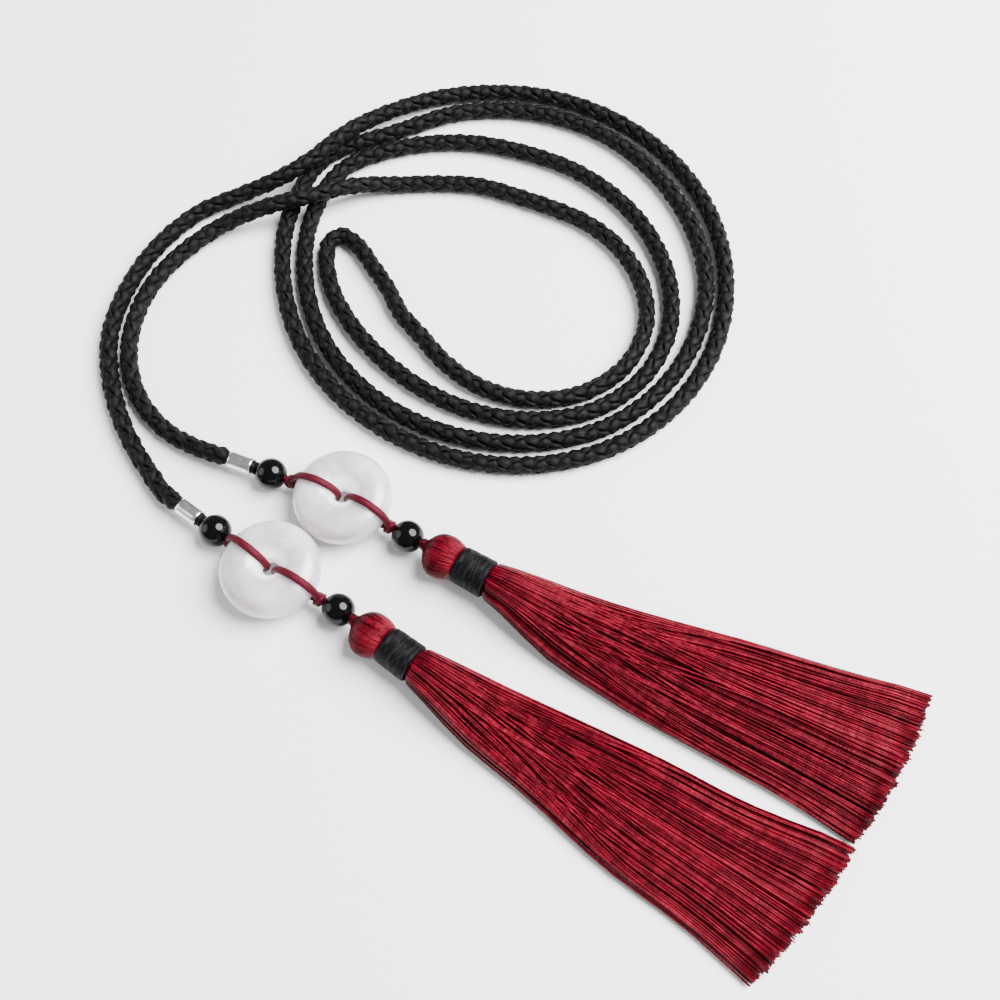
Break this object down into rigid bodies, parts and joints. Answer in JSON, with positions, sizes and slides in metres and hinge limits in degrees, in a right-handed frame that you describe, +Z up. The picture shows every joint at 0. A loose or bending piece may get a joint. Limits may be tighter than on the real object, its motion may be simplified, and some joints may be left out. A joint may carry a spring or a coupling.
{
  "type": "rope belt",
  "caption": "Braided rope belt in a loose coil; each end carries a ferrule, black beads, a milky stone ring on a knotted red cord, and a long red tassel.",
  "frame": {"origin": "on the surface, under the middle of the belt's outline as it lies", "axes": "+Z up from the surface; the coil lies towards +Y and the tassels run towards -Y and +X"},
  "size_m": [0.2043, 0.2448, 0.012],
  "materials": {
    "black_braid": "round braid with a dull sheen",
    "silver": "polished",
    "black_trim": "satin",
    "black_bead": "mirror gloss",
    "milky_stone": "polished milky white stone, slightly translucent",
    "red_cord": "satin cord",
    "red_silk": "silk thread",
    "black_satin": "satin ribbon"
  },
  "bodies": {
    "root": {"rope": "black_braid", "ferrule_1": "silver", "collar_1": "black_trim", "bead_rope_1": "black_bead", "ring_1": "milky_stone", "cord_rope_1": "red_cord", "cord_tassel_1": "red_cord", "bead_tassel_1": "black_bead", "tassel_1": "red_silk", "band_1": "black_satin", "ferrule_2": "silver", "collar_2": "black_trim", "bead_rope_2": "black_bead", "ring_2": "milky_stone", "cord_rope_2": "red_cord", "cord_tassel_2": "red_cord", "bead_tassel_2": "black_bead", "tassel_2": "red_silk", "band_2": "black_satin"}
  },
  "joints": []
}
